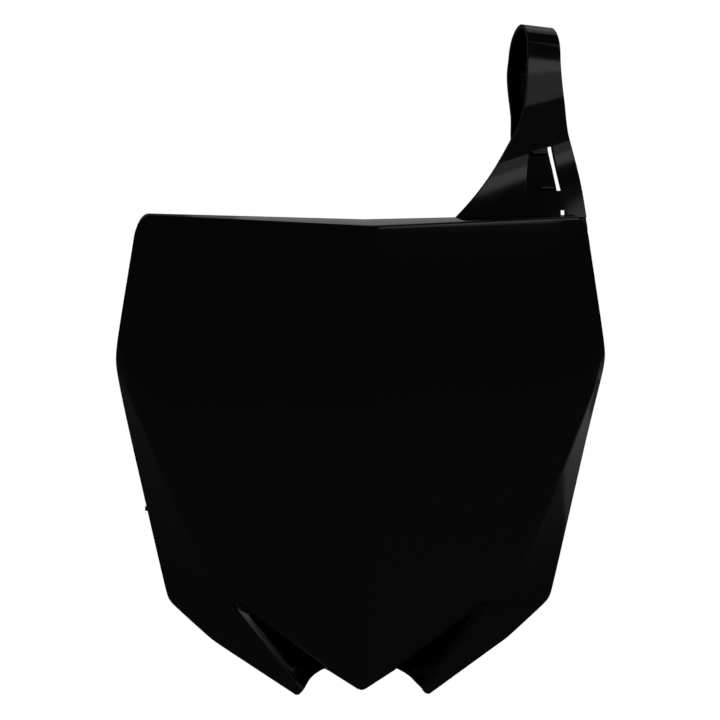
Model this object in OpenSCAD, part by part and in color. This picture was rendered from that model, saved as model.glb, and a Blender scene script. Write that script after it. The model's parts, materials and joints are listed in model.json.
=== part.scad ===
/* [Face] */
// Angle by which each half of the face is swept back from the middle ridge
sweep = 16.4; // [12:0.2:20]
// Radius that softens the middle ridge
ridge_r = 2.2; // [1:0.2:5]
// Half width of the face at its widest place
half_w = 132.2; // [120:0.2:140]
// Depth of the widest place below the top edge, at the ridge
widest_z = 69; // [60:1:80]
// How far the sides draw in for each millimetre above the widest place
upper_draw = 0.163; // [0.1:0.005:0.22]
// How far the sides draw in for each millimetre below the widest place
lower_draw = 0.231; // [0.18:0.005:0.28]
// Softness of the rounded widest corners
wide_soft = 1.3; // [0.5:0.1:3]
// Depth at which the chin starts to lean back
chin_z = 157; // [145:1:170]
// Lean of the chin, millimetres back for each millimetre down
chin_lean = 0.45; // [0.3:0.01:0.6]
// Softness of the bend into the chin
chin_soft = 15; // [5:1:30]
// Thickness of the moulded skin
wall = 2.5; // [2:0.1:3.5]
// Depth of the stiffening rim that runs round the edge, from the front face
rim = 7; // [5:0.5:10]
// How far the rim's rear edge is drawn inward, so that the mould lets go
rim_draft = 1; // [0.2:0.1:1.5]

/* [Top lip] */
// Rise of the top lip towards the back
lip_rise = 10.5; // [6:0.5:14]
// Depth of the lip's rear edge behind the ridge
lip_depth = 29; // [24:0.5:34]
// How much further back the lip's rear edge runs for each millimetre outward
lip_sweep = 0.155; // [0.1:0.005:0.2]
// Radius of the two top corners
top_corner_r = 7; // [5:0.5:12]

/* [Side panels and prongs] */
// Depth of the face edge behind the ridge, below the widest place
side_depth = 48.2; // [46:0.1:50]
// Height of the point where each gill starts, below the top edge
gill_z = 198; // [192:1:204]
// Depth of the step at the lower end of a gill
gill_step = 5; // [3:0.5:7]
// How fast a prong's ridge comes forward, for each millimetre down
prong_rise = 0.13; // [0.05:0.01:0.2]

/* [Arm and strap] */
// Thickness of the arm that carries the strap
arm_t = 3; // [2.5:0.1:4]
// Width of the strap
strap_w = 16; // [14:0.5:20]
// Thickness of the strap
strap_t = 2.2; // [1.8:0.1:2.6]
// Inner radius of the strap where it goes round the back of the handlebar
loop_r = 18; // [16:0.5:19]
// Height of the loop's centre above the top edge
loop_z = 89.5; // [84:0.5:94]
// How far the loop's centre lies behind the arm's plane
loop_back = 6; // [4:0.5:14]
// Tilt of the loop, its right end down
loop_tilt = 5.5; // [0:0.5:8]

/* [Mounting] */
// Diameter of the upper bolt hole
bolt_d = 6.5; // [5.5:0.1:8.5]
// Height of the bolt lug below the top edge
lug_z = 40; // [30:1:60]
// Distance of the bolt hole behind the ridge
lug_y = 36; // [28:0.5:40]
// Thickness of the bolt lug
lug_t = 4; // [3:0.5:6]
// Diameter of the lower peg hole
peg_d = 10; // [8:0.5:12]

/* [Hidden] */
$fn = 64;
black = [0.06, 0.06, 0.065];

// A soft smaller of two values, and a soft ramp that starts at zero
function soft_min(a, b, s) = (a + b) / 2 - sqrt(pow((a - b) / 2, 2) + s * s);
function soft_ramp(t, s) = (t + sqrt(t * t + s * s)) / 2;
function clamp01(t) = min(1, max(0, t));
function mix(a, b, t) = a + (b - a) * t;

// Corners of the right half of the outline, each with its x and its height
tongue_tip = [0, -245];
notch_top = [18.9, -233.4];
notch_end = [25.5, -236.8];
prong_tip = [34.4, -247.8];
bend = [79.2, -218.2];
corner = [102.7, -196.9];

function line_x(p, q, z) = q[0] + (p[0] - q[0]) * (z - q[1]) / (p[1] - q[1]);
function edge_upper(z) = half_w - upper_draw * (z + widest_z);
function edge_lower(z) = half_w + lower_draw * (z + widest_z);
function edge_x(z) =
    soft_min(soft_min(soft_min(edge_upper(z), edge_lower(z), wide_soft),
        line_x(corner, bend, z), 0.9), line_x(bend, prong_tip, z), 0.4);

// The crease starts at the widest corner, and turns inward to the gill and the tongue's edge
gill_x = 67.9;
crease_draw = 0.407;
tongue_draw = 1.36;
prong_draw = 0.79;
crease_half = 1.1;
function crease_free(z) =
    soft_min(half_w - 0.4 + crease_draw * (z + widest_z), gill_x + tongue_draw * (z + gill_z), 5);
function crease_x(z) = min(crease_free(z), edge_x(z) - 3.2);
function below_gill(z) = max(0, -gill_z - z);
function tongue_x(z) = max(crease_x(z) - crease_half, 18);
function prong_x(z) =
    crease_half + (below_gill(z) > 0 ? crease_x(-gill_z) - prong_draw * below_gill(z) : crease_x(z));

// Depth of the plain swept face with its leaning chin
function plain_y(x, z) =
    tan(sweep) * (sqrt(x * x + ridge_r * ridge_r) - ridge_r) + chin_lean * soft_ramp(-chin_z - z, chin_soft);

// Depth of the prong's ridge and of the outer edge
function prong_y(z) = plain_y(prong_x(-gill_z), -gill_z) - prong_rise * below_gill(z);
side_start = 65;
side_full = 120;
function side_y(z) =
    z > -side_start ? plain_y(edge_x(z), z)
    : side_depth - (side_depth - plain_y(edge_x(-side_start), -side_start))
        * pow(clamp01((z + side_full) / (side_full - side_start)), 2);
panel_slope = 0.55;
function edge_y(z) =
    below_gill(z) > 0
        ? soft_min(side_depth, prong_y(z) + panel_slope * (edge_x(z) - prong_x(z)), 1)
        : side_y(z);

function upper_y(x, z) =
    plain_y(x, z) + (edge_y(z) - plain_y(edge_x(z), z)) / (edge_x(z) - crease_x(z))
        * soft_ramp(x - crease_x(z), 1.2);
function panel_y(x, z) =
    prong_y(z) + (edge_y(z) - prong_y(z)) * (x - prong_x(z)) / max(2, edge_x(z) - prong_x(z));
function step_at(z) = gill_step * clamp01(below_gill(z) / 30);

// Heights of the grid's rows below the top edge, closer together where the outline and the gills turn
row_z = concat(
    [0, -1.2, -3, -5.5, -9],
    [for (z = [-18 : -10 : -138]) z],
    [for (z = [-144 : -6 : -180]) z],
    [for (z = [-186 : -4 : -198]) z],
    [for (z = [-200 : -4 : -248]) z],
    [-249.5]
);
last_row = len(row_z) - 1;

// The top row follows the lip's front edge, and the rows below it level out
lip_slope = tan(lip_rise);
function level_z(x, z) = z + lip_slope * plain_y(x, 0) * clamp01(1 + z / 12);
function arc_in(d, r) = d < r ? r - sqrt(r * r - (r - d) * (r - d)) : 0;
function row_edge(z) = edge_x(z + 6.5 * clamp01(1 + z / 12)) - arc_in(-z, top_corner_r);

// Columns of the face grid on one half, from the ridge outward, each with its x and its depth
function outer_columns(z) =
    let (e = row_edge(z), c = min(crease_x(z), e - 3.2), g = below_gill(z) > 0)
    let (t = g ? tongue_x(z) : c - crease_half, p = g ? prong_x(z) : c + crease_half)
    let (m = mix(p + 1.1, e, 0.5))
    [
        [0, plain_y(0, z)],
        [1.5, plain_y(1.5, z)],
        [4, plain_y(4, z)],
        [0.5 * t, plain_y(0.5 * t, z)],
        [t, g ? plain_y(t, z) : upper_y(t, z)],
        g ? [t + 0.9, plain_y(t, z) + step_at(z)] : [t + 0.75, upper_y(t + 0.75, z)],
        [p, g ? prong_y(z) : upper_y(p, z)],
        [p + 1.1, g ? panel_y(p + 1.1, z) : upper_y(p + 1.1, z)],
        [m, g ? panel_y(m, z) : upper_y(m, z)],
        [e, g ? panel_y(e, z) : upper_y(e, z)]
    ];

// The same columns on the inner face, moved inward so that the walls stay thick, with the outline's inset
skin_push = wall / cos(sweep) + 0.3;
function inner_columns(z) =
    let (o = outer_columns(z), g = below_gill(z) > 0, e = row_edge(z))
    let (rest = e - wall * (z < -190 ? 1.9 : 1.05), p = min(o[6][0] - (g ? 1.2 : 0), rest - 3))
    let (m = mix(p + 1.1, rest, 0.5), t = o[4][0] - (g ? 1.6 : 0))
    [
        for (i = [0 : 3]) [o[i][0], o[i][1] + skin_push],
        [t, o[4][1] + skin_push],
        [t + o[5][0] - o[4][0], o[5][1] + skin_push],
        [p, (g ? prong_y(z) : upper_y(p, z)) + skin_push],
        [p + 1.1, (g ? panel_y(p + 1.1, z) : upper_y(p + 1.1, z)) + skin_push],
        [m, (g ? panel_y(m, z) : upper_y(m, z)) + skin_push],
        [e, (g ? panel_y(rest, z) : upper_y(rest, z)) + skin_push]
    ];

// A row of points across the whole face
function both_halves(h, r) =
    let (n = len(h), z = row_z[r])
    [for (i = [1 - n : n - 1]) let (x = sign(i) * h[abs(i)][0]) [x, h[abs(i)][1], level_z(abs(x), z)]];
outer_grid = [for (r = [0 : last_row]) both_halves(outer_columns(row_z[r]), r)];

// The inner grid: its first rows stay under the lip, and its outer columns are moved in along the outline
under_lip = wall / cos(lip_rise);
function edge_inset(r, side) =
    let (c = side > 0 ? len(outer_grid[0]) - 1 : 0)
    let (a = outer_grid[max(0, r - 1)][c], b = outer_grid[min(last_row, r + 1)][c])
    let (d = [b[0] - a[0], b[2] - a[2]])
    wall * side * [d[1], -d[0]] / norm(d);
function inner_z(p, r) = r > 3 ? p[2] : p[2] + (skin_push * lip_slope - under_lip) * [1, 0.75, 0.5, 0.2][r];
inner_raw = [for (r = [0 : last_row]) both_halves(inner_columns(row_z[r]), r)];
inner_grid = [for (r = [0 : last_row])
    let (n = len(inner_raw[r]))
    [for (c = [0 : n - 1])
        let (p = inner_raw[r][c], s = c == 0 ? -1 : 1, v = edge_inset(r, s))
        r > 0 && (c == 0 || c == n - 1) ? [p[0] + v[0], p[1], p[2] + v[1]] : [p[0], p[1], inner_z(p, r)]]];

// How far a row's edge runs back with the lip: on the right as far down as the arm's root, on the left less
left_share = [1, 0.85, 0.6, 0.3, 0.1];
right_share = [1, 1, 1, 1, 0.95, 0.7, 0.35, 0.1];
function share(r, side) =
    side < 0 ? (r < len(left_share) ? left_share[r] : 0) : (r < len(right_share) ? right_share[r] : 0);
function lip_back(x) = lip_depth - 0.4 + lip_sweep * abs(x);

// The rear point of the lip or rim behind an edge point
function rear_point(r, c, w) =
    let (p = outer_grid[r][c], y = mix(p[1] + rim, lip_back(p[0]), w), side = c == 0 ? -1 : 1)
    let (v = r == 0 ? [0, 0] : edge_inset(r, side) * (1 - w) * rim_draft / wall)
    [p[0] + v[0], y, p[2] + v[1] + (y - p[1]) * lip_slope * w];

// The moulded skin in one: face, inner face, and the lip and rim that run round three sides
module skin() {
    rows = len(outer_grid);
    cols = len(outer_grid[0]);
    front = [for (r = outer_grid, p = r) p];
    inner = [for (r = inner_grid, p = r) p];
    path = concat(
        [for (r = [rows - 1 : -1 : 1]) [r, 0, -1]],
        [for (c = [0 : cols - 1]) [0, c, c == 0 ? -1 : 1]],
        [for (r = [1 : rows - 1]) [r, cols - 1, 1]]
    );
    n = len(path);
    rear_out = [for (k = path) rear_point(k[0], k[1], share(k[0], k[2]))];
    rear_in = [for (i = [0 : n - 1])
        let (k = path[i], p = inner_grid[k[0]][k[1]], q = outer_grid[k[0]][k[1]])
        rear_out[i] + [p[0] - q[0], 0, p[2] - q[2] - (k[0] == 0 ? skin_push * lip_slope : 0)]];
    in0 = rows * cols;
    out1 = 2 * in0;
    in1 = out1 + n;
    grid_faces = [for (r = [0 : rows - 2], c = [0 : cols - 2])
        let (a = r * cols + c, b = a + 1, d = a + cols, e = d + 1)
        each c < (cols - 1) / 2 ? [[a, b, e], [a, e, d]] : [[a, b, d], [b, e, d]]];
    turned = [for (f = grid_faces) [in0 + f[0], in0 + f[2], in0 + f[1]]];
    function at(i) = path[i][0] * cols + path[i][1];
    bands = [for (i = [0 : n - 2])
        let (p = at(i), q = at(i + 1))
        each [
            [p, out1 + i, out1 + i + 1], [p, out1 + i + 1, q],
            [out1 + i, in1 + i, in1 + i + 1], [out1 + i, in1 + i + 1, out1 + i + 1],
            [in1 + i, in0 + p, in0 + q], [in1 + i, in0 + q, in1 + i + 1]
        ]];
    l = n - 1;
    ends = [
        [at(0), in0 + at(0), in1], [at(0), in1, out1],
        [at(l), out1 + l, in1 + l], [at(l), in1 + l, in0 + at(l)]
    ];
    foot = [for (c = [0 : cols - 2])
        let (a = (rows - 1) * cols + c)
        each [[a, a + 1, in0 + a + 1], [a, in0 + a + 1, in0 + a]]];
    polyhedron(
        points = concat(front, inner, rear_out, rear_in),
        faces = concat(grid_faces, turned, bands, ends, foot),
        convexity = 8
    );
}

// Cuts the lower edge free: the tongue's tip, the notches beside it and the tips of the prongs
tongue_tip_half = 2.2;
module lower_cut() {
    half = [
        [tongue_tip_half, tongue_tip[1] + 0.7],
        [17.9, notch_top[1] - 0.9],
        [notch_top[0], notch_top[1] - 0.6],
        [notch_top[0] + 1.4, notch_top[1] - 0.9],
        [notch_end[0] - 1.2, notch_end[1] + 0.3],
        [notch_end[0] + 1.6, notch_end[1] - 1.8],
        [prong_tip[0] - 0.5, prong_tip[1] + 1.2],
        [prong_tip[0] + 2, prong_tip[1] + 0.7],
        [60, -262]
    ];
    translate([0, 100, 0])
        rotate([90, 0, 0])
            linear_extrude(height = 130)
                polygon(concat([for (i = [len(half) - 1 : -1 : 0]) [-half[i][0], half[i][1]]],
                    [tongue_tip], half));
}

// Places its child in the plane of the arm: x outward, y up, z forward
module arm_plane() {
    translate([0, lip_depth, 0])
        rotate([0, 0, atan(lip_sweep)])
            rotate([90, 0, 0])
                children();
}

// A smooth curve between two points, with two handles
function curve(a, b, c, d, n) =
    [for (i = [0 : n]) let (t = i / n, s = 1 - t)
        s * s * s * a + 3 * s * s * t * b + 3 * s * t * t * c + t * t * t * d];

// The arm and strap are one band. Its path, seen from the side, is distance forward of the arm's plane
// and height: up the arm, round the bar, and down behind the arm to the tail's end
strap_u = 97.6;
loop_c = [-loop_back, loop_z];
loop_mid_r = loop_r + strap_t / 2;
strap_gap = 1.6;
root_v = 6;
waist_v = 38;
waist_f = -3.1;
neck_top = [5.2, 68];
shoulder = [7, 95.7];
rear_turn = 208;
tail_end = -6;
function on_loop(a) = loop_c + loop_mid_r * [cos(a), sin(a)];
function along_loop(a) = [-sin(a), cos(a)];
function past(p, slope, d) = p + [slope * d, d];
arm_path = curve([arm_t / 2, root_v], [-1.9, 17], [-3.4, 27], [waist_f, waist_v], 10);
waist = [waist_f, waist_v];
neck_path = curve(waist, past(waist, 0.14, 11), past(neck_top, 0.123, -11), neck_top, 7);
flat_path = curve(neck_top, past(neck_top, 0.123, 9), past(shoulder, -0.063, -9), shoulder, 6);
top_path = curve(shoulder, past(shoulder, -0.063, 7.1), [1.2, loop_z + loop_mid_r], on_loop(90), 7);
tail_shift = [-arm_t / 2 - strap_gap - strap_t / 2, 0];
tail_path = [for (i = [len(arm_path) - 1 : -1 : 0]) arm_path[i] + tail_shift];
behind_path = curve(on_loop(rear_turn), on_loop(rear_turn) + 15 * along_loop(rear_turn),
    tail_path[0] + [0, 20], tail_path[0] + [0, 5], 8);
function without_first(l) = [for (i = [1 : len(l) - 1]) l[i]];
front_path = concat(arm_path, without_first(neck_path),
    without_first(flat_path), without_first(top_path));
loop_path = [for (a = [98 : 8 : rear_turn - 4]) on_loop(a)];
tail_heights = [0, tail_end + 3, tail_end + 1, tail_end];
rear_path = concat(loop_path, behind_path, tail_path, [for (v = tail_heights) [arm_t / 2 + tail_shift[0], v]]);
band_path = concat(front_path, rear_path);
first_rear = len(front_path);

// The band's edges as seen from the front, each a list of height and distance outward
arm_neck_l = [83.5, 52.5];
band_l = 88.9;
band_r = band_l + strap_w;
band_top = 109;
function swapped(l) = [for (q = l) [q[1], q[0]]];
front_l = swapped(concat(
    [[43, 3]],
    curve([44.2, 4.8], [58, 16.2], [73.6, 29], arm_neck_l, 14),
    without_first(curve(arm_neck_l, [87.2, 61], [88.6, 72], [88.5, 90], 8)),
    [[band_l, band_top]]
));
front_r = swapped(concat(
    [[123, 3]],
    curve([122.2, 9], [120.8, 24], [118.5, 38], [113.8, 53], 8),
    without_first(curve([113.8, 53], [110.4, 65], [107.6, 76], [106.7, 90], 8)),
    [[band_r + 1.7, 100], [band_r + 1.3, 105], [band_r + 0.6, band_top]]
));
rear_l = swapped(concat(
    [[97, tail_end], [93, tail_end + 3]],
    curve([91, 20], [87.2, 34], [83.4, 44], [84.1, 54], 6),
    without_first(curve([84.1, 54], [84.9, 66], [85.2, 76], [87.8, 92], 8)),
    [[band_l - 0.6, 103], [band_l, band_top]]
));
rear_r = [
    [tail_end, 106], [tail_end + 3, 109.8], [10, 109.4], [23, 108], [33, 106.3], [43.4, 104],
    [52, 103.4], [75, 104.4], [band_top, band_r + 0.6]
];

// How far a row of the band runs up towards the right, in degrees, by height: on the front and rear runs
front_tilt = [[6, 1.7], [24, 13], [60, 16], [70, 14], [82, 2], [94, -13], [109, -loop_tilt]];
rear_tilt = [[6, 1.7], [24, 13], [44, 13], [60, 0], [76, -loop_tilt]];

function row_end(h, tilt, edge) =
    let (u = lookup(h, edge), v = h + (u - strap_u) * tan(tilt), w = lookup(v, edge))
    [w, h + (w - strap_u) * tan(tilt)];
function band_row(i) =
    let (
        n = len(band_path),
        q = band_path[i],
        d = band_path[min(n - 1, i + 1)] - band_path[max(0, i - 1)],
        out = [d[1], -d[0]] / norm(d),
        rear = i >= first_rear,
        tilt = lookup(q[1], rear ? rear_tilt : front_tilt),
        l = row_end(q[1], tilt, rear ? rear_l : front_l),
        r = row_end(q[1], tilt, rear ? rear_r : front_r),
        half = (rear ? strap_t : mix(strap_t, arm_t, clamp01((60 - q[1]) / 10))) / 2
    )
    [
        [l[0], l[1] + half * out[1], q[0] + half * out[0]],
        [r[0], r[1] + half * out[1], q[0] + half * out[0]],
        [r[0], r[1] - half * out[1], q[0] - half * out[0]],
        [l[0], l[1] - half * out[1], q[0] - half * out[0]]
    ];
module band() {
    n = len(band_path);
    rows = [for (i = [0 : n - 1]) band_row(i)];
    sides = [for (i = [0 : n - 2], k = [0 : 3])
        let (a = 4 * i + k, b = 4 * i + (k + 1) % 4, c = a + 4, d = b + 4)
        each [[a, c, d], [a, d, b]]];
    e = 4 * (n - 1);
    polyhedron(
        points = [for (r = rows, q = r) q],
        faces = concat(sides, [[0, 1, 2], [0, 2, 3], [e, e + 2, e + 1], [e, e + 3, e + 2]]),
        convexity = 6
    );
}

// A prism along the arm's width whose outline is given as distance forward and height
module side_prism(outline, length) {
    rotate([0, 90, 0])
        linear_extrude(height = length)
            polygon([for (q = outline) [-q[0], q[1]]]);
}

// The window's outline, and the slot at the arm's root
window = [[92.1, 42.2], [105.1, 45.2], [109.7, 21.4], [89.7, 20.8]];
slot_low = 7.9;
slot_high = 10.8;
module arm_and_strap() {
    gap_middle = [for (q = arm_path) q - [arm_t / 2 + strap_gap / 2, 0]];
    arm_plane() {
        difference() {
            band();
            intersection() {
                translate([0, 0, -30])
                    linear_extrude(height = 60)
                        polygon(window);
                translate([strap_u, 0, 0])
                    rotate([0, 0, 12])
                        translate([-40, 0, 0])
                            side_prism(concat(gap_middle, [[waist_f - 2.2, 60], [20, 60], [20, root_v]]), 80);
            }
            translate([89.6, slot_low, -1.6])
                cube([21.4, slot_high - slot_low, 12]);
        }
        linear_extrude(height = arm_t)
            polygon([[122.1, 9], [123.4, 1.7], [123.8, -5], [123.2, -12], [120.4, -12], [118.6, 5]]);
        tooth([94.6, 39.8], 8.2, 4);
        tooth([98.6, 20.9], 7.6, 3.8);
    }
}

// A catch tooth on the tail's front face, which stands in the window
module tooth(at, w, reach) {
    f = lookup(at[1], swapped(arm_path)) + tail_shift[0];
    translate([at[0], at[1], f])
        side_prism([[0, 0], [0, 2.6], [reach, 2.6], [reach, 1.6]], w);
}

// The bolt lug behind the face, with its boss and two gussets
lug_w = 26;
lug_back = 10;
boss_d = 15;
boss_h = 3;
skin_in = 1;
function v_line(w, at) = [[-w, at + tan(sweep) * w], [0, at], [w, at + tan(sweep) * w]];
module bolt_lug() {
    difference() {
        union() {
            translate([0, 0, -lug_z - lug_t / 2])
                linear_extrude(height = lug_t)
                    polygon(concat(v_line(lug_w / 2, skin_in), [[lug_w / 2, lug_y + lug_back - 5],
                        [lug_w / 2 - 5, lug_y + lug_back], [5 - lug_w / 2, lug_y + lug_back],
                        [-lug_w / 2, lug_y + lug_back - 5]]));
            translate([0, lug_y, -lug_z - lug_t / 2])
                cylinder(d = boss_d, h = lug_t + boss_h);
            for (side = [-1, 1])
                gusset(side * (lug_w / 2 - 2.6), skin_in + tan(sweep) * (lug_w / 2 - 1.2), -lug_z, 26, 24);
        }
        translate([0, lug_y, -lug_z - 10])
            cylinder(d = bolt_d, h = 20);
    }
}
module gusset(x, y, z, out, up) {
    translate([x - 1.1, y, z])
        rotate([90, 0, 90])
            linear_extrude(height = 2.2)
                polygon([[0, 0], [out, 0], [out, 1.5], [0, up]]);
}

// The lower shelf with the hole for the peg on the fork
shelf_z = 186;
shelf_y = 50;
shelf_w = 34;
module peg_shelf() {
    front = chin_lean * soft_ramp(shelf_z - chin_z, chin_soft) + skin_in;
    difference() {
        union() {
            translate([0, 0, -shelf_z])
                linear_extrude(height = lug_t)
                    polygon(concat(v_line(shelf_w / 2, front), [[shelf_w / 2, shelf_y + 8],
                        [shelf_w / 2 - 6, shelf_y + 14], [6 - shelf_w / 2, shelf_y + 14],
                        [-shelf_w / 2, shelf_y + 8]]));
            for (side = [-1, 1])
                gusset(side * (shelf_w / 2 - 2.6), front + tan(sweep) * (shelf_w / 2 - 1.2),
                    -shelf_z + lug_t - 1, 24, 20);
        }
        translate([0, shelf_y, -shelf_z - 10])
            cylinder(d = peg_d, h = 24);
    }
}

// A small nub that the mould leaves on the left edge
nub_z = -148.3;
module edge_nub() {
    translate([-edge_x(nub_z) - 0.7, side_depth + 1.5, nub_z - 1.2])
        cube([3, 3, 2.4]);
}

module number_board() {
    color(black)
        translate([0, -lug_y, lug_z]) {
            difference() {
                skin();
                lower_cut();
            }
            edge_nub();
            arm_and_strap();
            bolt_lug();
            peg_shelf();
        }
}

number_board();
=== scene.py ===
import math

import json

import bmesh
import bpy
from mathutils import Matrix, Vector


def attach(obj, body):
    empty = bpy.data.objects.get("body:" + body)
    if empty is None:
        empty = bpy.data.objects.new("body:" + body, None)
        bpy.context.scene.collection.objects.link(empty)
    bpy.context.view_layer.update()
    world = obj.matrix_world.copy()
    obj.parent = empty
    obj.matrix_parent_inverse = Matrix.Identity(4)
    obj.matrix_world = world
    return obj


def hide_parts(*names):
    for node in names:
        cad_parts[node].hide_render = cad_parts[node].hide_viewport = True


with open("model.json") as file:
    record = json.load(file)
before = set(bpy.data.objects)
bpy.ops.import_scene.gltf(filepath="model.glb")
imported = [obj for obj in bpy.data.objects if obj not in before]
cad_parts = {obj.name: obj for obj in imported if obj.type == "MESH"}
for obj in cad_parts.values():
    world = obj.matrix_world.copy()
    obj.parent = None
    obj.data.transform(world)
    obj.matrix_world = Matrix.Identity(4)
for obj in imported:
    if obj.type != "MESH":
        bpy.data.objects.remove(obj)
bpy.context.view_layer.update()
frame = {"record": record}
mounts = {m["name"]: m for m in frame["record"]["mounts"]}

# The forms follow the part's own formulas on a finer mesh, in millimetres from the ridge's top. The gills,
# the lip's edge and the arm's curve differ a little, so that reflections lie where the photograph has them.
# The bolt hole, which is the frame's origin, lies LUG_Y behind the ridge and LUG_Z below its top.
SWEEP, RIDGE_R = 16.4, 2.2
HALF_W, WIDEST_Z, UPPER_DRAW, LOWER_DRAW, WIDE_SOFT = 132.2, 69, 0.163, 0.231, 1.3
CHIN_Z, CHIN_LEAN, CHIN_SOFT = 157, 0.45, 15
WALL, RIM, RIM_DRAFT, INNER_GAP = 2.5, 7, 1, 0.3
TAN_SWEEP = math.tan(math.radians(SWEEP))
SKIN_PUSH = WALL / math.cos(math.radians(SWEEP)) + INNER_GAP

# The top lip, and how far below the top edge its rise fades out
LIP_RISE, LIP_DEPTH, LIP_SWEEP, TOP_CORNER_R = 10.5, 29, 0.155, 7
LIP_EDGE_R, LIP_LIFT, LIP_BACK, TOP_BLEND, TOP_DRAW = 1.3, 1.1, 0.4, 12, 6.5
LIP_SLOPE = math.tan(math.radians(LIP_RISE))

# The outline's corners at the side, the bend and the prong's tip, as half width and height
CORNER, BEND, PRONG_TIP = (102.7, -196.9), (79.2, -218.2), (34.4, -247.8)
CORNER_SOFT, BEND_SOFT = 0.9, 0.4

# The crease between face and side panel, which becomes the tongue's edge below the gill's start
CREASE_INSET, CREASE_DRAW, CREASE_HALF, CREASE_SOFT = 0.4, 0.407, 1.1, 0.6
GILL_X, GILL_Z, GILL_SOFT, TONGUE_DRAW, TONGUE_MIN = 67.9, 198, 5, 1.36, 18
SIDE_DEPTH, SIDE_START, SIDE_FULL, SIDE_MIN = 48.2, 65, 120, 3.2

# A gill: the bead on the tongue's edge, the step down from it, and the prong's ridge
BEAD, BEAD_RISE, BEAD_RUN = 1.6, 0.28, 3
GILL_STEP, GILL_RUN, STEP_W = 8.5, 30, 0.9
PRONG_DRAW, PRONG_RISE, PRONG_OUT, PRONG_OUT_RUN = 0.79, 0.13, 2.2, 4
RIDGE_BAND, RIDGE_SHARE, RIDGE_FALL = 2.6, 0.4, 0.42
PANEL_SLOPE, PANEL_SOFT, PANEL_MIN = 0.55, 1, 2

# The inner face's distances from the outline, in walls, and from the gill's edges
EDGE_WALLS, LOW_EDGE_WALLS, LOW_Z, INNER_SIDE_MIN = 1.05, 1.9, 190, 3
TONGUE_INSET, PRONG_INSET = 1.6, 1.2

ARM_T, STRAP_W, STRAP_T, LOOP_R, LOOP_Z, LOOP_BACK, LOOP_TILT = 3, 16, 2.2, 18, 89.5, 6, 5.5
LUG_Z, LUG_Y, LUG_T = 40, 36, 4


def soft_min(a, b, s):
    return (a + b) / 2 - math.sqrt(((a - b) / 2) ** 2 + s * s)


def soft_ramp(t, s):
    return (t + math.sqrt(t * t + s * s)) / 2


def clamp01(t):
    return min(1.0, max(0.0, t))


def mix(a, b, t):
    return a + (b - a) * t


def lookup(x, table):
    """Straight-line value at x of a table of pairs, flat beyond its ends."""
    table = sorted(table)
    if x <= table[0][0]:
        return table[0][1]
    for (a, p), (b, q) in zip(table, table[1:]):
        if x <= b:
            return p if b == a else mix(p, q, (x - a) / (b - a))
    return table[-1][1]


def line_x(p, q, z):
    return q[0] + (p[0] - q[0]) * (z - q[1]) / (p[1] - q[1])


def edge_x(z):
    """Half width of the outline at a height."""
    above = HALF_W - UPPER_DRAW * (z + WIDEST_Z)
    below = HALF_W + LOWER_DRAW * (z + WIDEST_Z)
    side = soft_min(soft_min(above, below, WIDE_SOFT), line_x(CORNER, BEND, z), CORNER_SOFT)
    return soft_min(side, line_x(BEND, PRONG_TIP, z), BEND_SOFT)


def crease_x(z):
    """Half width at the crease, where the face folds back into the side panel."""
    upper = HALF_W - CREASE_INSET + CREASE_DRAW * (z + WIDEST_Z)
    tongue = GILL_X + TONGUE_DRAW * (z + GILL_Z)
    return min(soft_min(upper, tongue, GILL_SOFT), edge_x(z) - SIDE_MIN)


def below_gill(z):
    """How far a height lies below the gills' start, or 0 above it."""
    return max(0, -GILL_Z - z)


def tongue_x(z):
    return max(crease_x(z) - CREASE_HALF, TONGUE_MIN)


def prong_x(z):
    b = below_gill(z)
    if b > 0:
        return crease_x(-GILL_Z) - PRONG_DRAW * b + PRONG_OUT * clamp01(b / PRONG_OUT_RUN) + CREASE_HALF
    return crease_x(z) + CREASE_HALF


def plain_y(x, z):
    """Depth of the swept face behind its ridge."""
    swept = TAN_SWEEP * (math.sqrt(x * x + RIDGE_R * RIDGE_R) - RIDGE_R)
    return swept + CHIN_LEAN * soft_ramp(-CHIN_Z - z, CHIN_SOFT)


def prong_y(z):
    return plain_y(prong_x(-GILL_Z), -GILL_Z) - PRONG_RISE * below_gill(z)


def edge_y(z):
    """Depth of the outline at a height."""
    if below_gill(z) > 0:
        return soft_min(SIDE_DEPTH, prong_y(z) + PANEL_SLOPE * (edge_x(z) - prong_x(z)), PANEL_SOFT)
    if z > -SIDE_START:
        return plain_y(edge_x(z), z)
    start = plain_y(edge_x(-SIDE_START), -SIDE_START)
    return SIDE_DEPTH - (SIDE_DEPTH - start) * clamp01((z + SIDE_FULL) / (SIDE_FULL - SIDE_START)) ** 2


def upper_y(x, z):
    """Depth of face and side panel above the gill."""
    slope = (edge_y(z) - plain_y(edge_x(z), z)) / (edge_x(z) - crease_x(z))
    return plain_y(x, z) + slope * soft_ramp(x - crease_x(z), CREASE_SOFT)


def panel_y(x, z):
    """Depth of the side panel beside the gill, from the prong's ridge to the outline."""
    return prong_y(z) + (edge_y(z) - prong_y(z)) * (x - prong_x(z)) / max(PANEL_MIN, edge_x(z) - prong_x(z))


def at_top(z):
    """1 at the top edge, which fades to 0 at TOP_BLEND below it."""
    return clamp01(1 + z / TOP_BLEND)


def level_z(x, z):
    """A row's height at x: the rows near the top edge rise outward as the lip does."""
    return z + (LIP_SLOPE * plain_y(x, 0) + LIP_LIFT) * at_top(z)


def row_edge(z):
    """Half width of a row, with the top corner rounded."""
    r, d = TOP_CORNER_R, -z
    arc = r - math.sqrt(r * r - (r - d) * (r - d)) if d < r else 0
    return edge_x(z + TOP_DRAW * at_top(z)) - arc


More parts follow.
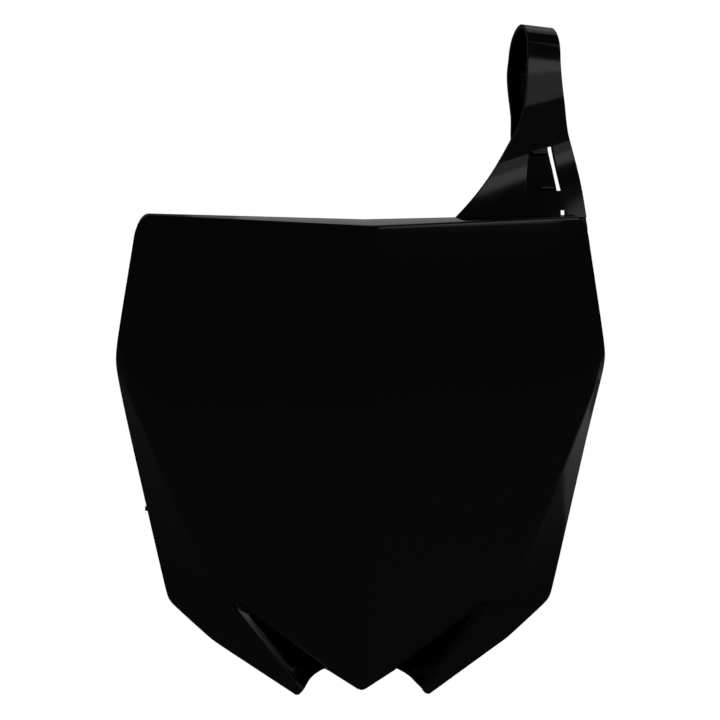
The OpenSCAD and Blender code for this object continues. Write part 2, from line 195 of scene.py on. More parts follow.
# The mesh has its closest rows at the lip's edge and in the gills, and its closest columns at the ridge.
RIDGE_COLUMNS = [0, 0.4, 0.9, 1.5, 2.2, 3.2, 4.6, 6.5, 9, 12]
FACE_COLUMNS, FOLD_COLUMNS, SIDE_COLUMNS = 14, 6, 12
COLUMNS = len(RIDGE_COLUMNS) + FACE_COLUMNS + FOLD_COLUMNS + SIDE_COLUMNS
ROWS = sorted(set(
    [-LIP_EDGE_R * (1 - math.cos(math.radians(a))) for a in range(0, 91, 10)]
    + [-2, -3, -4.2, -5.5, -7, -9, -12, -15]
    + [-18 - 3 * i for i in range(44)]
    + [-150 - 2 * i for i in range(24)]
    + [-198 - i for i in range(52)]
    + [-198.4, -249.5]
), reverse=True)


def outer_row(z):
    """One half's points of the face at a height, from the ridge outward, each with x and depth.

    The half widths are e at the outline, c at the crease, t at the tongue's edge and p at the prong's ridge.
    """
    e, gill = row_edge(z), below_gill(z) > 0
    c = min(crease_x(z), e - SIDE_MIN)
    t = tongue_x(z) if gill else c - CREASE_HALF
    p = prong_x(z) if gill else c + CREASE_HALF
    step = GILL_STEP * clamp01(below_gill(z) / GILL_RUN)
    bead = t - BEAD
    flat = [mix(RIDGE_COLUMNS[-1], bead, (i + 1) / (FACE_COLUMNS - 1)) for i in range(FACE_COLUMNS - 1)]
    out = [(x, plain_y(x, z) if gill else upper_y(x, z)) for x in RIDGE_COLUMNS + flat]
    proud = BEAD_RISE * BEAD * clamp01(below_gill(z) / BEAD_RUN)
    out.append((t, plain_y(bead, z) - proud if gill else upper_y(t, z)))
    for i in range(1, FOLD_COLUMNS + 1):
        if not gill:
            x = mix(t, p, i / FOLD_COLUMNS)
            out.append((x, upper_y(x, z)))
        elif i <= 2:
            out.append((t + STEP_W * i / 2, plain_y(t, z) + step * i / 2))
        elif i < FOLD_COLUMNS:
            k, band = (i - 2) / (FOLD_COLUMNS - 3), min(RIDGE_BAND, RIDGE_SHARE * (p - t))
            floor_y, foot_y = plain_y(t, z) + step, prong_y(z) + RIDGE_FALL * band
            out.append((mix(t + STEP_W, p - band, k), mix(floor_y, foot_y, k)))
        else:
            out.append((p, prong_y(z)))
    for i in range(1, SIDE_COLUMNS + 1):
        x = mix(p, e, i / SIDE_COLUMNS)
        out.append((x, panel_y(x, z) if gill else upper_y(x, z)))
    return out


def inner_row(z):
    """The same points on the inner face."""
    o, e, gill = outer_row(z), row_edge(z), below_gill(z) > 0
    face = len(RIDGE_COLUMNS) + FACE_COLUMNS
    fold = face + FOLD_COLUMNS
    rest = e - WALL * (LOW_EDGE_WALLS if z < -LOW_Z else EDGE_WALLS)
    t, p = o[face - 1][0], min(o[fold - 1][0] - (PRONG_INSET if gill else 0), rest - INNER_SIDE_MIN)
    shift = TONGUE_INSET if gill else 0
    side_y = panel_y if gill else upper_y
    out = []
    for i, (x, y) in enumerate(o):
        if i < face:
            out.append((x - shift * clamp01(2 * x / t - 1), y + SKIN_PUSH))
        elif i < fold:
            k = (i - face + 1) / FOLD_COLUMNS
            out.append((mix(x - shift, p, k * k), y + SKIN_PUSH))
        elif i < len(o) - 1:
            x = mix(p, rest, (i - fold + 1) / SIDE_COLUMNS)
            out.append((x, side_y(x, z) + SKIN_PUSH))
        else:
            out.append((e, side_y(rest, z) + SKIN_PUSH))
    return out


def both_halves(half, z):
    """A row's points in space, from its left end to its right end."""
    return [[math.copysign(half[abs(i)][0], i), half[abs(i)][1], level_z(half[abs(i)][0], z)]
            for i in range(1 - COLUMNS, COLUMNS)]


def round_lip(row, z):
    """Draws the face's topmost rows back, so that its front edge runs over into the lip in an arc."""
    d = LIP_EDGE_R + z
    back = LIP_EDGE_R - math.sqrt(LIP_EDGE_R ** 2 - d * d) if d > 0 else 0
    return [[x, y + back, h + back * LIP_SLOPE] for x, y, h in row]


# By height, the lip's share in the rim's depth on the left and on the right, and in the inner face's drop
LEFT_SHARE = [(-18, 0), (-9, 0.1), (-5.5, 0.3), (-3, 0.6), (-1.2, 0.85), (0, 1)]
RIGHT_SHARE = [(-48, 0), (-38, 0.1), (-28, 0.35), (-18, 0.7), (-9, 0.95), (-5.5, 1), (0, 1)]
UNDER_LIP = [(-9, 0), (-5.5, 0.2), (-3, 0.5), (-1.2, 0.75), (0, 1)]


def skin_mesh():
    """The moulded skin in one closed mesh: face, inner face, and the lip and rim round three sides."""
    rows, cols = len(ROWS), 2 * COLUMNS - 1
    outer = [round_lip(both_halves(outer_row(z), z), z) for z in ROWS]
    inner = [both_halves(inner_row(z), z) for z in ROWS]
    drop = SKIN_PUSH * LIP_SLOPE - WALL / math.cos(math.radians(LIP_RISE))

    def inset(r, c):
        """The way from the outline inward, square to it and one wall long."""
        side = 1 if c else -1
        a, b = outer[max(0, r - 1)][c], outer[min(rows - 1, r + 1)][c]
        dx, dz = b[0] - a[0], b[2] - a[2]
        k = WALL * side / math.hypot(dx, dz)
        return k * dz, -k * dx

    for r, z in enumerate(ROWS):
        for c in range(cols):
            if r > 0 and c in (0, cols - 1):
                dx, dz = inset(r, c)
                inner[r][c][0] += dx
                inner[r][c][2] += dz
            else:
                inner[r][c][2] += drop * lookup(z, UNDER_LIP)
    path = [(r, 0) for r in range(rows - 1, 0, -1)] + [(0, c) for c in range(cols)]
    path += [(r, cols - 1) for r in range(1, rows)]
    rear_out, rear_in = [], []
    for r, c in path:
        p, q = outer[r][c], inner[r][c]
        w = lookup(ROWS[r], RIGHT_SHARE if c else LEFT_SHARE) if r else 1
        y = mix(p[1] + RIM, LIP_DEPTH - LIP_BACK + LIP_SWEEP * abs(p[0]), w)
        dx, dz = inset(r, c) if r else (0, 0)
        k = (1 - w) * RIM_DRAFT / WALL
        lift = LIP_LIFT * at_top(ROWS[r])
        under = 0 if r else SKIN_PUSH * LIP_SLOPE
        back = (p[0] + dx * k, y, p[2] - lift + dz * k + (y - p[1]) * LIP_SLOPE * w)
        rear_out.append(back)
        rear_in.append((back[0] + q[0] - p[0], y, back[2] + q[2] - p[2] - under))
    points = [p for row in outer for p in row] + [p for row in inner for p in row] + rear_out + rear_in
    in0, n = rows * cols, len(path)
    out1, in1 = 2 * in0, 2 * in0 + n
    faces = []
    for r in range(rows - 1):
        for c in range(cols - 1):
            a = r * cols + c
            faces.append((a, a + cols, a + cols + 1, a + 1))
            faces.append((in0 + a, in0 + a + 1, in0 + a + cols + 1, in0 + a + cols))
    at = [r * cols + c for r, c in path]
    for i in range(n - 1):
        p, q = at[i], at[i + 1]
        faces.append((p, q, out1 + i + 1, out1 + i))
        faces.append((out1 + i, out1 + i + 1, in1 + i + 1, in1 + i))
        faces.append((in1 + i, in1 + i + 1, in0 + q, in0 + p))
    faces.append((at[0], out1, in1, in0 + at[0]))
    k = n - 1
    faces.append((at[k], in0 + at[k], in1 + k, out1 + k))
    for c in range(cols - 1):
        a = (rows - 1) * cols + c
        faces.append((a, in0 + a, in0 + a + 1, a + 1))
    return points, faces


def prism(outline, low, high, place):
    """A closed prism over a flat outline; place turns (a, b, height) into a point."""
    n = len(outline)
    points = [place(a, b, low) for a, b in outline] + [place(a, b, high) for a, b in outline]
    faces = [tuple(range(n - 1, -1, -1)), tuple(range(n, 2 * n))]
    faces += [(i, (i + 1) % n, n + (i + 1) % n, n + i) for i in range(n)]
    return points, faces


def flat_z(a, b, h):
    return a, b, h


def along_y(a, b, h):
    return a, h, b


def along_x(a, b, h):
    return h, a, b


def arm_plane(u, v, f):
    """From the arm's plane, u outward, v up and f forward, to the ridge's frame."""
    turn = math.atan(LIP_SWEEP)
    return (u * math.cos(turn) + f * math.sin(turn), u * math.sin(turn) - f * math.cos(turn) + LIP_DEPTH, v)


def across_arm(f, v, u):
    return arm_plane(u, v, f)


def curve(a, b, c, d, n):
    """Points of a smooth curve from a to d, which b and c pull on."""
    out = []
    for i in range(n + 1):
        t = i / n
        s = 1 - t
        weights = (s ** 3, 3 * s * s * t, 3 * s * t * t, t ** 3)
        out.append(tuple(sum(w * p[k] for w, p in zip(weights, (a, b, c, d))) for k in (0, 1)))
    return out


# The band's path as seen from the side, each point as distance in front of the arm's plane and height.
# The strap's middle lies STRAP_U outward in that plane.
STRAP_U, LOOP_MID = 97.6, LOOP_R + STRAP_T / 2
FOOT, WAIST, NECK, SHOULDER = (ARM_T / 2 + 1.3, 6), (-3.1, 43), (5.2, 68), (7, 95.7)
WAIST_SLOPE, NECK_SLOPE, SHOULDER_SLOPE = 0.085, 0.145, -0.05
REAR_TURN, REAR_PULL, TAIL_END = 208, 15, -6
TAIL_SHIFT = -ARM_T / 2 - 1.6 - STRAP_T / 2


def on_loop(a):
    a = math.radians(a)
    return -LOOP_BACK + LOOP_MID * math.cos(a), LOOP_Z + LOOP_MID * math.sin(a)


def past(p, slope, d):
    """The point d higher than p on a line that comes forward by slope for each millimetre up."""
    return p[0] + slope * d, p[1] + d


def behind_path(tail_top):
    """The strap's way from the back of its loop down to the tail behind the arm."""
    start, turn = on_loop(REAR_TURN), math.radians(REAR_TURN)
    pull = (start[0] - REAR_PULL * math.sin(turn), start[1] + REAR_PULL * math.cos(turn))
    return curve(start, pull, past(tail_top, 0, 20), past(tail_top, 0, 5), 20)


ARM_PATH = curve(FOOT, (-2.6, 26), (-3.55, 37), WAIST, 24)
NECK_PATH = curve(WAIST, past(WAIST, WAIST_SLOPE, 9), past(NECK, NECK_SLOPE, -9), NECK, 20)
FLAT_PATH = curve(NECK, past(NECK, NECK_SLOPE, 9), past(SHOULDER, SHOULDER_SLOPE, -9), SHOULDER, 16)
TOP_PATH = curve(SHOULDER, past(SHOULDER, SHOULDER_SLOPE, 7.1), (1.2, LOOP_Z + LOOP_MID), on_loop(90), 16)
TAIL_PATH = [(f + TAIL_SHIFT, v) for f, v in reversed(ARM_PATH)]
FRONT_RUN = ARM_PATH + NECK_PATH[1:] + FLAT_PATH[1:] + TOP_PATH[1:]
REAR_RUN = [on_loop(a) for a in range(94, REAR_TURN, 4)] + behind_path(TAIL_PATH[0]) + TAIL_PATH
REAR_RUN += [(FOOT[0] + TAIL_SHIFT, v) for v in (0, TAIL_END + 3, TAIL_END + 1, TAIL_END)]
BAND_PATH = FRONT_RUN + REAR_RUN

# The band's left and right edges and its tilt in degrees, by height, as seen along the arm's plane's normal
BAND_L, BAND_TOP = 88.9, 109
BAND_R = BAND_L + STRAP_W
NECK_L, NECK_R, REAR_NECK_L = (83.5, 52.5), (113.8, 53), (84.1, 54)


def by_height(pairs):
    """A table for lookup, from pairs of distance outward and height."""
    return sorted((v, u) for u, v in pairs)


FRONT_L = by_height([(43, 3)] + curve((44.2, 4.8), (58, 16.2), (73.6, 29), NECK_L, 28)
                    + curve(NECK_L, (87.2, 61), (88.6, 72), (88.5, 90), 16)[1:] + [(BAND_L, BAND_TOP)])
FRONT_R = by_height([(123, 3)] + curve((122.2, 9), (120.8, 24), (118.5, 38), NECK_R, 16)
                    + curve(NECK_R, (110.4, 65), (107.6, 76), (106.7, 90), 16)[1:]
                    + [(BAND_R + 1.7, 100), (BAND_R + 1.3, 105), (BAND_R + 0.6, BAND_TOP)])
REAR_L = by_height([(97, TAIL_END), (93, TAIL_END + 3)]
                   + curve((91, 20), (87.2, 34), (83.4, 44), REAR_NECK_L, 14)
                   + curve(REAR_NECK_L, (84.9, 66), (85.2, 76), (87.8, 92), 14)[1:]
                   + [(BAND_L - 0.6, 103), (BAND_L, BAND_TOP)])
REAR_R = [(TAIL_END, 106), (TAIL_END + 3, 109.8), (10, 109.4), (23, 108), (33, 106.3), (43.4, 104),
          (52, 103.4), (75, 104.4), (BAND_TOP, BAND_R + 0.6)]
FRONT_TILT = [(6, 1.7), (14, 12), (20, 17), (45, 17), (60, 16), (70, 14), (82, 2), (94, -9),
              (BAND_TOP, -LOOP_TILT)]
REAR_TILT = [(6, 1.7), (24, 13), (44, 13), (60, 0), (76, -LOOP_TILT)]
ACROSS = 8

# Below CHANGE_Z the arm grows from the strap's thickness to its own, and the tail twists.
CHANGE_Z, THIN_RUN, TAIL_TWIST, TWIST_RUN = 60, 10, 2.6, 20


def row_end(h, tilt, edge):
    """Where a tilted row across the band meets one of its edges."""
    slope = math.tan(math.radians(tilt))
    v = h + (lookup(h, edge) - STRAP_U) * slope
    w = lookup(v, edge)
    return w, h + (w - STRAP_U) * slope


def band_mesh():
    """Arm and strap as one swept band, with a rectangular section."""
    points, faces = [], []
    n = len(BAND_PATH)
    for i, (f, h) in enumerate(BAND_PATH):
        a, b = BAND_PATH[max(0, i - 1)], BAND_PATH[min(n - 1, i + 1)]
        df, dv = b[0] - a[0], b[1] - a[1]
        k = math.hypot(df, dv)
        nf, nv = dv / k, -df / k
        rear = i >= len(FRONT_RUN)
        tilt = lookup(h, REAR_TILT if rear else FRONT_TILT)
        l = row_end(h, tilt, REAR_L if rear else FRONT_L)
        r = row_end(h, tilt, REAR_R if rear else FRONT_R)
        half = (STRAP_T if rear else mix(STRAP_T, ARM_T, clamp01((CHANGE_Z - h) / THIN_RUN))) / 2
        twist = TAIL_TWIST * clamp01((CHANGE_Z - h) / TWIST_RUN) if rear else 0
        for side in (1, -1):
            for j in range(ACROSS + 1):
                t = j / ACROSS if side > 0 else 1 - j / ACROSS
                points.append(arm_plane(mix(l[0], r[0], t), mix(l[1], r[1], t) + side * half * nv,
                                        f + side * half * nf + twist * (t - 1)))
    m = 2 * (ACROSS + 1)
    for i in range(n - 1):
        for k in range(m):
            a, b = m * i + k, m * i + (k + 1) % m
            faces.append((a, b, b + m, a + m))
    faces.append(tuple(range(m - 1, -1, -1)))
    faces.append(tuple(m * (n - 1) + k for k in range(m)))
    return points, faces


def select_only(objects):
    """Selects some objects and nothing else, and makes the first the active one."""
    for o in bpy.context.selected_objects:
        o.select_set(False)
    for o in objects:
        o.select_set(True)
    bpy.context.view_layer.objects.active = objects[0]


def solid(name, shape):
    """An object in the frame's metres from a shape in the ridge's millimetres."""
    points, faces = shape
    mesh = bpy.data.meshes.new(name)
    mesh.from_pydata([(x / 1000, (y - LUG_Y) / 1000, (z + LUG_Z) / 1000) for x, y, z in points], [], faces)
    mesh.validate()
    o = bpy.data.objects.new(name, mesh)
    bpy.context.scene.collection.objects.link(o)
    select_only([o])
    bpy.ops.object.mode_set(mode="EDIT")
    bpy.ops.mesh.select_all(action="SELECT")
    bpy.ops.mesh.normals_make_consistent(inside=False)
    bpy.ops.object.mode_set(mode="OBJECT")
    o.select_set(False)
    return o


def combine(o, tool, how):
    """Cuts, joins or keeps the overlap of a solid with another, which goes away."""
    mod = o.modifiers.new("combine", "BOOLEAN")
    mod.operation = how
    mod.solver = "EXACT"
    mod.object = tool
    with bpy.context.temp_override(object=o, active_object=o):
        bpy.ops.object.modifier_apply(modifier=mod.name)
    bpy.data.objects.remove(tool)
    return o


def drop_flaps(o):
    """Takes out the folded slivers that a cut leaves: pairs of triangles on the same three points."""
    form = bmesh.new()
    form.from_mesh(o.data)
    bmesh.ops.triangulate(form, faces=[f for f in form.faces if len(f.verts) > 4])
    seen, flaps = {}, []
    for f in form.faces:
        key = frozenset(v.index for v in f.verts)
        if key in seen:
            flaps += [f, seen[key]]
        seen[key] = f
    bmesh.ops.delete(form, geom=flaps, context="FACES")
    form.to_mesh(o.data)
    form.free()


# The lower edge's right half from the chin's tip, over the notch and the prong's tip, to below the side
LOWER_EDGE = [(2.2, -244.3), (17.9, -234.3), (18.9, -234), (20.3, -234.3), (24.3, -236.5), (27.1, -238.6),
              (33.9, -246.6), (36.4, -247.1), (60, -262)]
CHIN_TIP = (0, -245)
CUT_FROM, CUT_TO = -30, 100


def make_skin():
    """The folded shell, cut to its lower outline."""
    skin = solid("skin", skin_mesh())
    outline = [(-x, z) for x, z in reversed(LOWER_EDGE)] + [CHIN_TIP] + LOWER_EDGE
    return combine(skin, solid("lower_cut", prism(outline, CUT_FROM, CUT_TO, along_y)), "DIFFERENCE")


WINDOW, WINDOW_REACH = [(92.1, 42.2), (105.1, 45.2), (109.7, 21.4), (89.7, 20.8)], 30
SLOT_L, SLOT_R, SLOT_LOW, SLOT_HIGH, SLOT_BACK, SLOT_FRONT = 108.2, 111, 7.9, 10.8, -1.6, 10.4
ROOM_LEAN, ROOM_GAP, ROOM_BACK, ROOM_FRONT, ROOM_TOP, ROOM_REACH = 12, 0.8, 2.2, 20, 60, 40


def leaning(f, v, h):
    """From f forward, v up along a line that leans left and h across it, to the ridge's frame."""
    lean = math.radians(ROOM_LEAN)
    u = STRAP_U + h * math.cos(lean) - v * math.sin(lean)
    return arm_plane(u, h * math.sin(lean) + v * math.cos(lean), f)


def make_band():
    """The arm and strap, with the arm's small slot and its window, which stops in front of the tail."""
    band = solid("band", band_mesh())
    window = solid("window", prism(WINDOW, -WINDOW_REACH, WINDOW_REACH, arm_plane))
    room = [(f - ARM_T / 2 - ROOM_GAP, v) for f, v in ARM_PATH]
    room += [(WAIST[0] - ROOM_BACK, ROOM_TOP), (ROOM_FRONT, ROOM_TOP), (ROOM_FRONT, ARM_PATH[0][1])]
    front_room = solid("front_room", prism(room, -ROOM_REACH, ROOM_REACH, leaning))
    combine(band, combine(window, front_room, "INTERSECT"), "DIFFERENCE")
    slot = [(SLOT_L, SLOT_LOW), (SLOT_R, SLOT_LOW), (SLOT_R, SLOT_HIGH), (SLOT_L, SLOT_HIGH)]
    return combine(band, solid("slot", prism(slot, SLOT_BACK, SLOT_FRONT, arm_plane)), "DIFFERENCE")


def v_line(w, at):
    """The face's own V at a half width, as the front of a plate that stands behind it."""
    return [(-w, at + TAN_SWEEP * w), (0, at), (w, at + TAN_SWEEP * w)]


RING_SIDES = 64


def ring(x, y, r, low, high):
    """An upright cylinder, for a boss or a hole."""
    angles = [math.tau * k / RING_SIDES for k in range(RING_SIDES)]
    return prism([(x + r * math.cos(a), y + r * math.sin(a)) for a in angles], low, high, flat_z)


# The peg shelf lies where the frame's record has the peg hole, whose place is the middle of the plate.
LUG_HALF, LUG_CORNER, LUG_END, BOSS_R, BOSS_RISE = 13, 5, 10, 7.5, 3
PEG_AT = [1000 * v for v in mounts["peg_hole"]["pos_m"]]
SHELF_Y, SHELF_Z = LUG_Y + PEG_AT[1], LUG_Z - PEG_AT[2] + LUG_T / 2
SHELF_HALF, SHELF_CORNER, SHELF_END = 17, 6, 14
PLATE_FRONT, TOOL_REACH = 1, 10
SHELF_FRONT = CHIN_LEAN * soft_ramp(SHELF_Z - CHIN_Z, CHIN_SOFT) + PLATE_FRONT


def make_lug():
    """The bolt lug: a plate with a boss and the bolt hole."""
    low, high = -LUG_Z - LUG_T / 2, -LUG_Z + LUG_T / 2
    side_y, end_y, end = LUG_Y + LUG_CORNER, LUG_Y + LUG_END, LUG_HALF - LUG_CORNER
    outline = v_line(LUG_HALF, PLATE_FRONT)
    outline += [(LUG_HALF, side_y), (end, end_y), (-end, end_y), (-LUG_HALF, side_y)]
    lug = solid("lug", prism(outline, low, high, flat_z))
    combine(lug, solid("boss", ring(0, LUG_Y, BOSS_R, low, high + BOSS_RISE)), "UNION")
    bolt_r = mounts["bolt_hole"]["dims"]["r_mm"]
    bolt = ring(0, LUG_Y, bolt_r, -LUG_Z - TOOL_REACH, -LUG_Z + TOOL_REACH)
    return combine(lug, solid("bolt", bolt), "DIFFERENCE")


def make_shelf():
    """The peg shelf: a plate with the peg hole."""
    side_y, end_y, end = SHELF_Y + SHELF_END - SHELF_CORNER, SHELF_Y + SHELF_END, SHELF_HALF - SHELF_CORNER
    outline = v_line(SHELF_HALF, SHELF_FRONT)
    outline += [(SHELF_HALF, side_y), (end, end_y), (-end, end_y), (-SHELF_HALF, side_y)]
    shelf = solid("shelf", prism(outline, -SHELF_Z, -SHELF_Z + LUG_T, flat_z))
    peg_r = mounts["peg_hole"]["dims"]["r_mm"]
    peg = ring(0, SHELF_Y, peg_r, -SHELF_Z - TOOL_REACH, -SHELF_Z + LUG_T + TOOL_REACH)
    return combine(shelf, solid("peg", peg), "DIFFERENCE")


CORNER_TAB = [(122.1, 9), (123.4, 1.7), (123.8, -5), (123.2, -12), (120.4, -12), (118.6, 5)]
TOOTH_T, TOOTH_TIP = 2.6, 1.6
UPPER_TOOTH, LOWER_TOOTH = (94.6, 39.8, 8.2, 4), (98.6, 20.9, 7.6, 3.8)
NUB_Z, NUB_H, NUB_W, NUB_OUT, NUB_BACK = 148.3, 2.4, 3, 0.7, 1.5
GUSSET_T, GUSSET_LIP, GUSSET_IN, GUSSET_SINK, GUSSET_START = 2.2, 1.5, 2.6, 1, 0.3
LUG_GUSSET, SHELF_GUSSET = (26, 24), (24, 20)


def tooth(u, v, width, reach):
    """A catch tooth behind the arm, with its lower left corner at a place in the arm's plane."""
    f = lookup(v, by_height(ARM_PATH)) + TAIL_SHIFT
    outline = [(f, v), (f, v + TOOTH_T), (f + reach, v + TOOTH_T), (f + reach, v + TOOTH_TIP)]
    return prism(outline, u, u + width, across_arm)


def edge_nub():
    """The small square nub that shows at the left side's edge."""
    x, y = -edge_x(-NUB_Z) - NUB_OUT, SIDE_DEPTH + NUB_BACK
    outline = [(x, y), (x + NUB_W, y), (x + NUB_W, y + NUB_W), (x, y + NUB_W)]
    return prism(outline, -NUB_Z - NUB_H / 2, -NUB_Z + NUB_H / 2, flat_z)


def gusset(x, front, z, size):
    """A web between the inner face and a plate at height z, centred on x; size is its length and height."""
    out, up = size
    y = front + TAN_SWEEP * (abs(x) + GUSSET_T / 2 + GUSSET_START)
    outline = [(y, z), (y + out, z), (y + out, z + GUSSET_LIP), (y, z + up)]
    return prism(outline, x - GUSSET_T / 2, x + GUSSET_T / 2, along_x)


def make_extras():
    """The small pieces that stand on the shell and on the arm."""
    extras = [
        solid("corner_tab", prism(CORNER_TAB, 0, ARM_T, arm_plane)),
        solid("tooth_upper", tooth(*UPPER_TOOTH)),
        solid("tooth_lower", tooth(*LOWER_TOOTH)),
        solid("edge_nub", edge_nub()),
    ]
    for side in (-1, 1):
        lug_x, shelf_x = side * (LUG_HALF - GUSSET_IN), side * (SHELF_HALF - GUSSET_IN)
        shelf_z = -SHELF_Z + LUG_T - GUSSET_SINK
        extras.append(solid("lug_gusset", gusset(lug_x, PLATE_FRONT, -LUG_Z, LUG_GUSSET)))
        extras.append(solid("shelf_gusset", gusset(shelf_x, SHELF_FRONT, shelf_z, SHELF_GUSSET)))
    return extras


DARKER, LIGHTER = (0.0012, 0.0012, 0.0013, 1), (0.0017, 0.0017, 0.0018, 1)
SMOOTHEST, ROUGHEST, PLASTIC_IOR = 0.07, 0.12, 1.49
CLOUD_SCALE, GRAIN_SCALE, GRAIN_STRENGTH, GRAIN_HEIGHT = 9.0, 60.0, 0.02, 0.0004
SOFT_EDGE_R = 0.0005


def black_plastic():
    """Gloss black moulded plastic with a faint ripple, fine variation of gloss and softened edges."""
    m = bpy.data.materials.new("gloss_black_plastic")
    m.use_nodes = True
    nt = m.node_tree
    bsdf = nt.nodes["Principled BSDF"]
    coords = nt.nodes.new("ShaderNodeTexCoord")
    cloud = nt.nodes.new("ShaderNodeTexNoise")
    cloud.inputs["Scale"].default_value = CLOUD_SCALE
    cloud.inputs["Detail"].default_value = 4.0
    nt.links.new(coords.outputs["Object"], cloud.inputs["Vector"])
    tone = nt.nodes.new("ShaderNodeValToRGB")
    for stop, place, colour in zip(tone.color_ramp.elements, (0.3, 0.7), (DARKER, LIGHTER)):
        stop.position = place
        stop.color = colour
    nt.links.new(cloud.outputs["Fac"], tone.inputs["Fac"])
    nt.links.new(tone.outputs["Color"], bsdf.inputs["Base Color"])
    gloss = nt.nodes.new("ShaderNodeMapRange")
    gloss.inputs["To Min"].default_value = SMOOTHEST
    gloss.inputs["To Max"].default_value = ROUGHEST
    nt.links.new(cloud.outputs["Fac"], gloss.inputs["Value"])
    nt.links.new(gloss.outputs["Result"], bsdf.inputs["Roughness"])
    bsdf.inputs["IOR"].default_value = PLASTIC_IOR
    grain = nt.nodes.new("ShaderNodeTexNoise")
    grain.inputs["Scale"].default_value = GRAIN_SCALE
    nt.links.new(coords.outputs["Object"], grain.inputs["Vector"])
    bump = nt.nodes.new("ShaderNodeBump")
    bump.inputs["Strength"].default_value = GRAIN_STRENGTH
    bump.inputs["Distance"].default_value = GRAIN_HEIGHT
    nt.links.new(grain.outputs["Fac"], bump.inputs["Height"])
    edge = nt.nodes.new("ShaderNodeBevel")
    edge.samples = 6
    edge.inputs["Radius"].default_value = SOFT_EDGE_R
    nt.links.new(edge.outputs["Normal"], bump.inputs["Normal"])
    nt.links.new(bump.outputs["Normal"], bsdf.inputs["Normal"])
    return m


SHARP_FROM = 26


def make_board():
    """The whole moulding as one object, smooth except where it folds by more than SHARP_FROM degrees."""
    board = make_skin()
    pieces = [board, make_band(), make_lug(), make_shelf()] + make_extras()
    plastic = black_plastic()
    select_only(pieces)
    bpy.ops.object.join()
    board.name = "board_form"
    drop_flaps(board)
    board.data.materials.clear()
    board.data.materials.append(plastic)
    for face in board.data.polygons:
        face.material_index = 0
    board.data.shade_smooth()
    board.data.set_sharp_from_angle(angle=math.radians(SHARP_FROM))
    board.select_set(False)
    return board


board = make_board()
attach(board, "root")
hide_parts("number_board")

# The stage: a white floor and backdrop, so wide and far off that no view is taken from beyond them
FLOOR_Z, STAGE, BACKDROP_TOP = -0.26, 8, 6
FLOOR_TONE, BACKDROP_TONE, WORLD_TONE = 0.06, 0.04, 0.04


def white_to_camera(nt, tone):
    """A brightness of 1 where the camera looks straight at it, and of tone in reflections."""
    path = nt.nodes.new("ShaderNodeLightPath")
    level = nt.nodes.new("ShaderNodeMath")
    level.operation = "ADD"
    level.use_clamp = True
    nt.links.new(path.outputs["Is Camera Ray"], level.inputs[0])
    level.inputs[1].default_value = tone
    return level.outputs["Value"]


def white_stage(name, tone):
    """A surface that the camera sees as plain white, and reflections see as a dark grey."""
    m = bpy.data.materials.new(name)
    m.use_nodes = True
    nt = m.node_tree
    nt.nodes.remove(nt.nodes["Principled BSDF"])
    light = nt.nodes.new("ShaderNodeEmission")
    nt.links.new(white_to_camera(nt, tone), light.inputs["Strength"])
    nt.links.new(light.outputs["Emission"], nt.nodes["Material Output"].inputs["Surface"])
    return m


def quad(name, corners, material):
    mesh = bpy.data.meshes.new(name)
    mesh.from_pydata(corners, [], [(0, 1, 2, 3)])
    o = bpy.data.objects.new(name, mesh)
    bpy.context.scene.collection.objects.link(o)
    o.data.materials.append(material)
    return o


near = [(-STAGE, -STAGE, FLOOR_Z), (STAGE, -STAGE, FLOOR_Z)]
far = [(STAGE, STAGE, FLOOR_Z), (-STAGE, STAGE, FLOOR_Z)]
high = [(STAGE, STAGE, BACKDROP_TOP), (-STAGE, STAGE, BACKDROP_TOP)]
quad("floor", near + far, white_stage("floor_white", FLOOR_TONE))
quad("backdrop", far[::-1] + high, white_stage("backdrop_white", BACKDROP_TONE))

scene = bpy.context.scene
scene.view_settings.view_transform = "Standard"
world = bpy.data.worlds.new("studio")
scene.world = world
world.use_nodes = True
background = world.node_tree.nodes["Background"]
background.inputs["Color"].default_value = (1, 1, 1, 1)
world.node_tree.links.new(white_to_camera(world.node_tree, WORLD_TONE), background.inputs["Strength"])


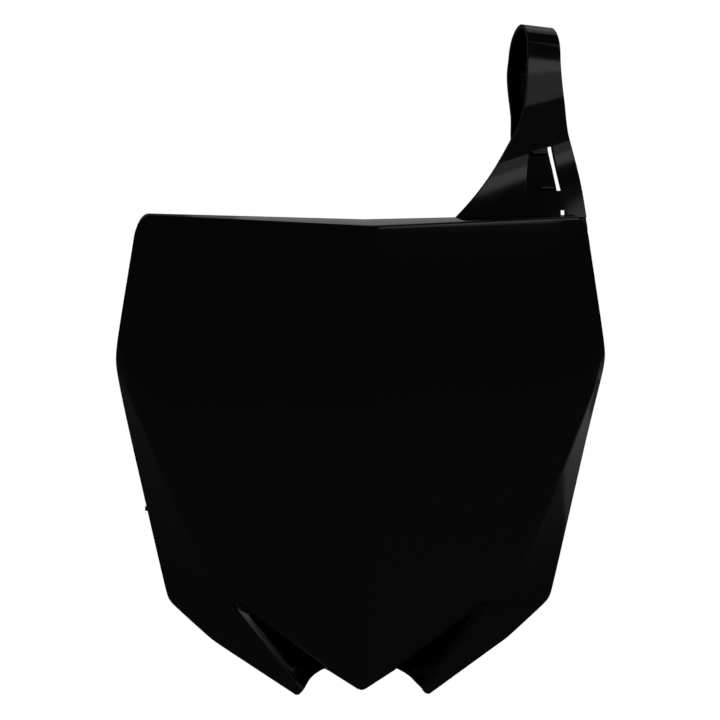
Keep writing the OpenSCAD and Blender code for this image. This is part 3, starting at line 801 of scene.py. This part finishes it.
def panel(name, at, to, width, height, radiance):
    """A soft area light that faces a point, as bright as its radiance says and unseen by the camera."""
    data = bpy.data.lights.new(name, "AREA")
    data.shape = "RECTANGLE"
    data.size = width
    data.size_y = height
    data.energy = radiance * math.pi * width * height
    o = bpy.data.objects.new(name, data)
    scene.collection.objects.link(o)
    o.location = at
    o.rotation_euler = (Vector(to) - Vector(at)).to_track_quat("-Z", "Y").to_euler()
    o.visible_camera = False
    return o


# Each light has its place, the point that it faces, its width and height in metres, and its radiance.
ARM_MID, ARM_LIGHT_W = (0.09, 0.03), 0.12
REAR_LIGHT_Y, REAR_LIGHT_Z, REAR_LIGHT_H = 1.0, 1.15, 1.7


def arm_lights(name, x, y, spans, radiance):
    """Panels at the front right of the arm, which overlap, so that the band of light fades at its ends."""
    for low, high in spans:
        mid = (low + high) / 2
        panel(name, (x, y, mid), (*ARM_MID, mid), ARM_LIGHT_W, high - low, radiance)


def rear_light(name, x, width, radiance):
    """A tall panel behind the board, which shows in its lip."""
    panel(name, (x, REAR_LIGHT_Y, REAR_LIGHT_Z), (x, 0, REAR_LIGHT_Z), width, REAR_LIGHT_H, radiance)


arm_lights("arm_panel", 0.205, -0.21, ((0.053, 0.142), (0.059, 0.138), (0.065, 0.134)), 0.42)
arm_lights("arm_accent", 0.20, -0.205, ((0.113, 0.145), (0.118, 0.141)), 0.5)
rear_light("rear_panel", 0.638, 1.224, 0.25)
rear_light("rear_edge", 0.008, 0.036, 0.12)
panel("overhead_panel", (0.56, 0.5, 1.3), (0.56, 0.5, 0), 0.5, 0.85, 0.45)
panel("floor_glow", (1.18, 0.35, FLOOR_Z + 0.004), (1.18, 0.35, 1), 1.02, 1.1, 0.16)
panel("side_panel", (1.0, -0.9, 0.68), (0, 0, 0), 0.38, 0.66, 0.7)

# The photograph's camera stands level with the board and a few degrees to its left.
CAMERA_AT, CAMERA_TURN = (-0.3062, -2.7186, -0.0293), 6.4
camera = bpy.data.objects.new("camera", bpy.data.cameras.new("camera"))
scene.collection.objects.link(camera)
camera.location = CAMERA_AT
camera.rotation_euler = (math.radians(90), 0, -math.radians(CAMERA_TURN))
camera.data.lens = 257.45
camera.data.sensor_width = 36
camera.data.clip_start = 0.1
camera.data.clip_end = 50
scene.camera = camera
